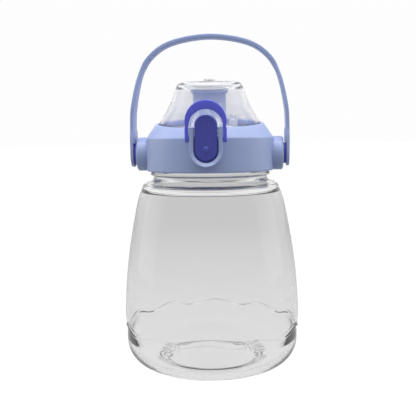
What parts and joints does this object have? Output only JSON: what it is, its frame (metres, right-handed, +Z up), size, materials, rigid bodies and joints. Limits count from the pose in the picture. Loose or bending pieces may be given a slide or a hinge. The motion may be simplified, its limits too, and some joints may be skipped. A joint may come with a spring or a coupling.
{
  "type": "sports drinking bottle",
  "caption": "Clear rigid drinking bottle with a screw lid, spout under a clear flip dome, rocker release button, swing-over lock ring and a folding carry handle.",
  "frame": {"origin": "centre of the flat foot ring that the bottle stands on", "axes": "+Z up along the bottle's axis, -Y towards the button side of the lid, X through the handle pivots"},
  "size_m": [0.1064, 0.1064, 0.1994],
  "materials": {
    "clear_body": "gloss clear moulded plastic",
    "clear_dome": "gloss clear moulded plastic",
    "periwinkle": "satin moulded plastic",
    "indigo": "satin moulded plastic",
    "silicone": "translucent soft silicone",
    "steel": "drawn wire"
  },
  "bodies": {
    "bottle": {"bottle_body": "clear_body"},
    "mouth_seal": {"mouth_gasket": "silicone"},
    "lid": {"inner_cap": "periwinkle", "collar_shell": "periwinkle", "spout": "periwinkle", "spout_gasket": "silicone", "vent_plug": "silicone", "dome_hinge_pin": "steel", "dome_spring": "steel", "button_pin": "steel", "button_spring": "steel"},
    "dome": {"dome_cover": "clear_dome", "spout_seal": "silicone"},
    "button": {"release_button": "indigo"},
    "ring": {"lock_ring": "indigo"},
    "pivots": {"pivot_pin_left": "periwinkle", "pivot_pin_right": "periwinkle", "pivot_washer_left": "indigo", "pivot_washer_right": "indigo"},
    "bail": {"handle": "periwinkle"}
  },
  "joints": [
    {"name": "lid_lift", "type": "slide", "parent": "bottle", "child": "mouth_seal", "axis": [0, 0, 1], "range_m": [0, 0.0181]},
    {"name": "lid_turn", "type": "hinge", "parent": "mouth_seal", "child": "lid", "pos_m": [0, 0, 0.1285], "axis": [0, 0, 1], "range_deg": [0, 1080]},
    {"name": "dome_open", "type": "hinge", "parent": "lid", "child": "dome", "pos_m": [0, 0.0345, 0.152], "axis": [-1, 0, 0], "range_deg": [0, 110]},
    {"name": "button_press", "type": "hinge", "parent": "lid", "child": "button", "pos_m": [0, -0.0396, 0.1415], "axis": [1, 0, 0], "range_deg": [0, 8], "stiffness_Nm_per_rad": 0.3},
    {"name": "lock_ring_swing", "type": "hinge", "parent": "lid", "child": "ring", "pos_m": [0, -0.042, 0.1378], "axis": [1, 0, 0], "range_deg": [0, 180]},
    {"name": "pivot_carry", "type": "hinge", "parent": "lid", "child": "pivots", "pos_m": [0, 0, 0.1287], "axis": [-1, 0, 0], "range_deg": [0, 110.5]},
    {"name": "handle_swing", "type": "hinge", "parent": "pivots", "child": "bail", "pos_m": [0, 0, 0.1287], "axis": [1, 0, 0], "range_deg": [-110, 110]}
  ],
  "couplings": [
    {"joint": "lid_lift", "follows": "lid_turn", "m_per_rad": 0.00095493},
    {"joint": "pivot_carry", "follows": "dome_open", "ratio": 1}
  ]
}
